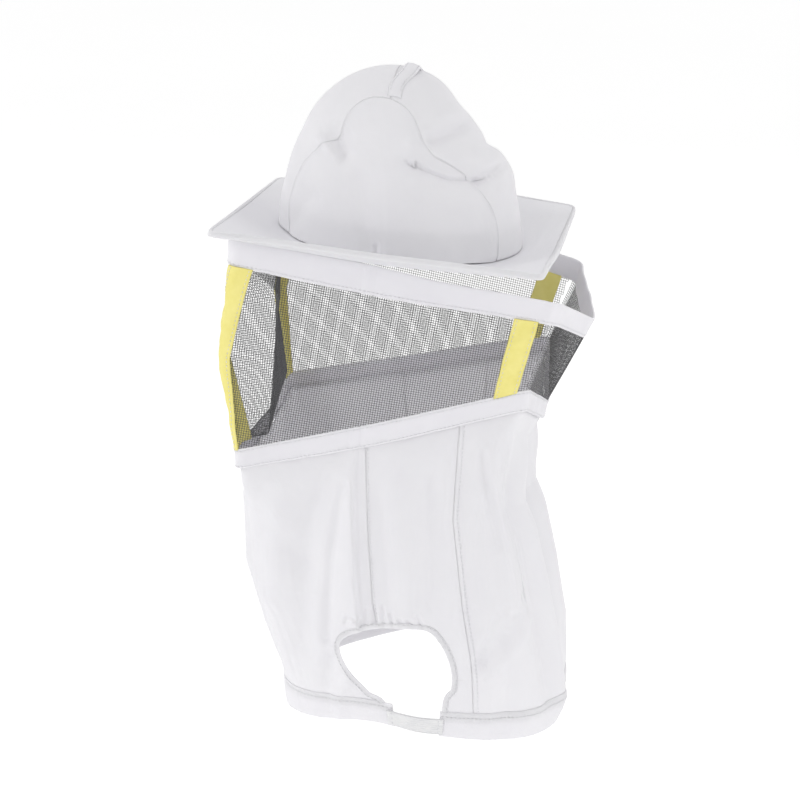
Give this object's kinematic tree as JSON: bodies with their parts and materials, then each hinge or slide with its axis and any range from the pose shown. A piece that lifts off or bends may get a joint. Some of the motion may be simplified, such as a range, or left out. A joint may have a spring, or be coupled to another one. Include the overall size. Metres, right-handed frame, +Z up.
{
  "type": "beekeeping veil",
  "caption": "Cotton sun hat with a stiff square brim, a folding wire mesh ring hung from its front edge, and a cotton cape with armholes and elastic straps.",
  "frame": {"origin": "centre of the head opening, in the plane where the crown meets the brim", "axes": "+Z up, -X where the face looks, -Y the wearer's left"},
  "size_m": [0.3056, 0.2994, 0.5757],
  "materials": {
    "cotton": "plain woven white cotton, softly creased",
    "band_cotton": "white cotton tape, folded and stitched",
    "brim_board": "smooth white cloth over a stiff board",
    "wire_mesh": "black coated woven wire screen",
    "yellow_tape": "pale yellow woven tape",
    "elastic": "white ribbed elastic"
  },
  "bodies": {
    "hat": {"brim": "brim_board", "brim_binding": "band_cotton", "sweatband": "cotton", "crown_strip_front": "cotton", "crown_strip_back": "cotton", "crown_side_left": "cotton", "crown_side_right": "cotton", "crown_top_tape": "cotton"},
    "veil": {"top_band": "band_cotton", "mesh_front": "wire_mesh", "mesh_left": "wire_mesh", "mesh_back": "wire_mesh", "mesh_right": "wire_mesh", "bottom_band": "band_cotton", "corner_tape_front_left": "yellow_tape", "corner_tape_front_right": "yellow_tape", "corner_tape_back_left": "yellow_tape", "corner_tape_back_right": "yellow_tape", "cape_front": "cotton", "cape_back": "cotton", "cape_side_left": "cotton", "cape_side_right": "cotton"},
    "hem": {"hem_front": "cotton", "hem_back": "cotton", "armhole_binding_left": "cotton", "armhole_binding_right": "cotton", "elastic_strap_left": "elastic", "elastic_strap_right": "elastic"}
  },
  "joints": [
    {"name": "veil_swing", "type": "hinge", "parent": "hat", "child": "veil", "pos_m": [-0.126, 0, 0.012], "axis": [0, 1, 0], "range_deg": [0, 18]},
    {"name": "cape_gather", "type": "slide", "parent": "veil", "child": "hem", "axis": [0, 0, 1], "range_m": [0, 0.085], "deforming": ["cape_front", "cape_back", "cape_side_left", "cape_side_right"]}
  ]
}
